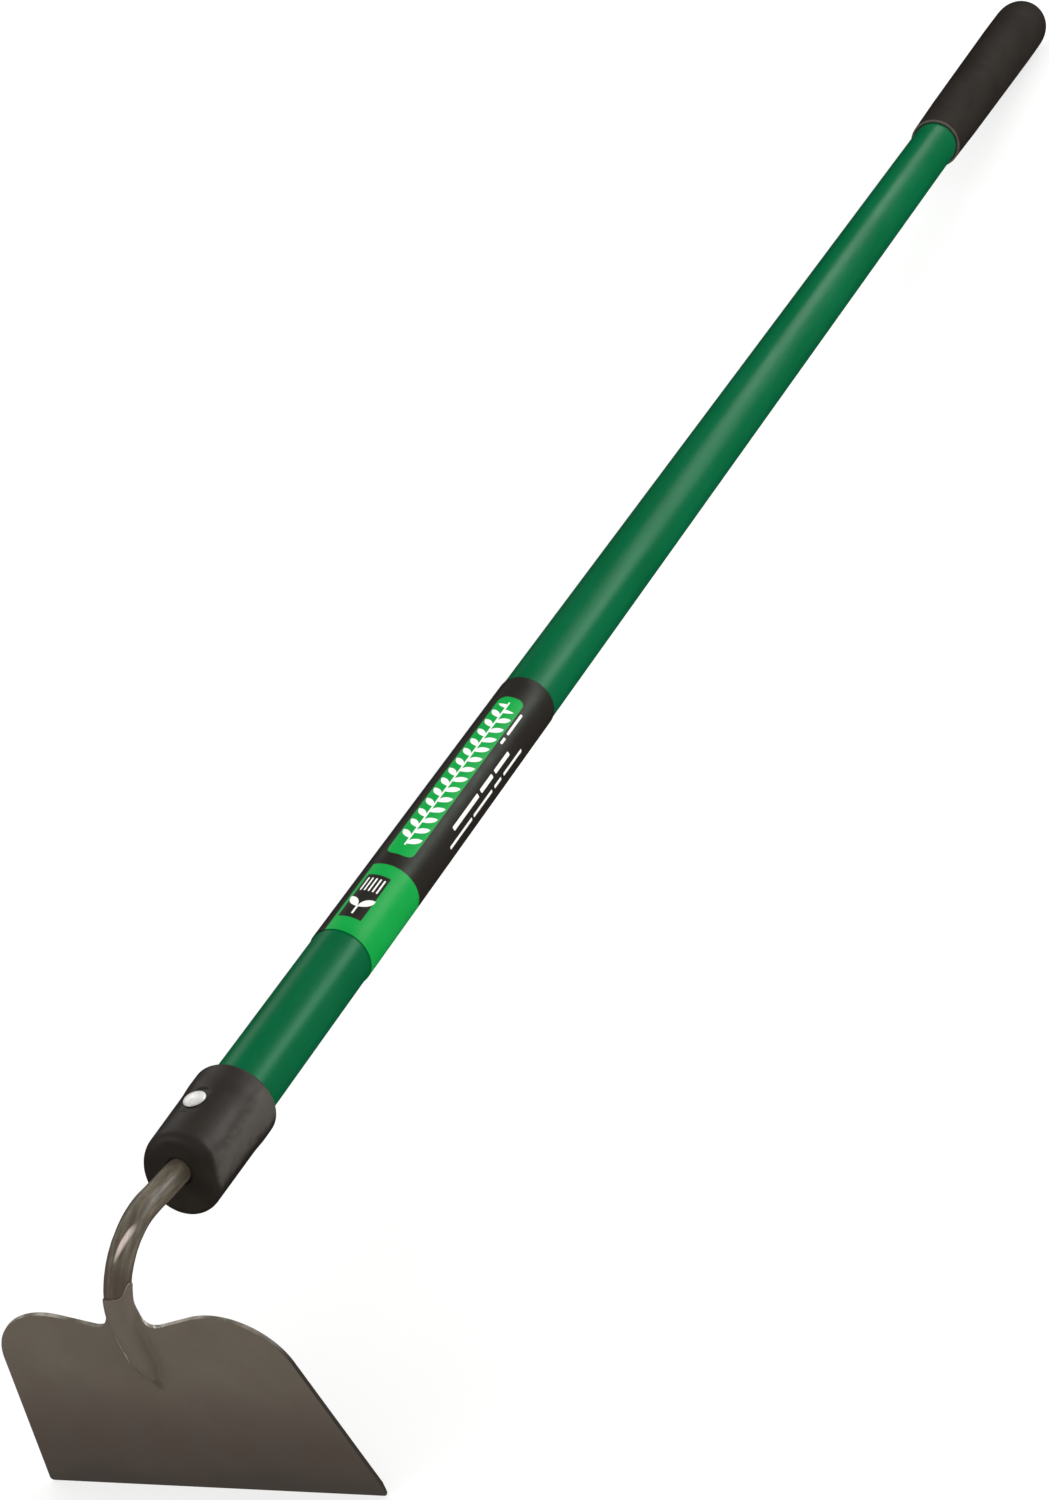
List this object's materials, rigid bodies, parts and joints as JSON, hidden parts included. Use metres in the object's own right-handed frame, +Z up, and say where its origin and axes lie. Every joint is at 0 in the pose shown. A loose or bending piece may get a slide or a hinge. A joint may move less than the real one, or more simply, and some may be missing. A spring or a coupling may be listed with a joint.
{
  "type": "draw hoe",
  "caption": "Long-handled draw hoe: heart-shouldered steel blade welded to a gooseneck rod, riveted ferrule, hollow fibreglass handle with a label sleeve and a closed-end grip.",
  "frame": {"origin": "on the ground under the middle of the tool as it lies at rest on its cutting edge and the end of its grip", "axes": "+X along the tool from the blade to the grip, +Y across the blade, +Z up"},
  "size_m": [1.3858, 0.1582, 0.1265],
  "materials": {
    "blade_paint": "satin grey-brown enamel",
    "neck_paint": "satin grey-brown enamel over forge marks",
    "weld_paint": "painted weld with bright spots",
    "ferrule_plastic": "satin black moulding",
    "rivet_steel": "zinc-plated",
    "handle_green": "satin green fibreglass",
    "plug_nylon": "natural nylon",
    "label_film": "printed film",
    "grip_rubber": "matte black rubber"
  },
  "bodies": {
    "root": {"blade": "blade_paint", "neck": "neck_paint", "weld_bead_left": "weld_paint", "weld_bead_right": "weld_paint", "ferrule": "ferrule_plastic", "rivet": "rivet_steel", "rivet_washer": "rivet_steel", "handle_tube": "handle_green", "tang_plug": "plug_nylon", "end_plug": "plug_nylon", "handle_label": "label_film", "grip": "grip_rubber"}
  },
  "joints": []
}
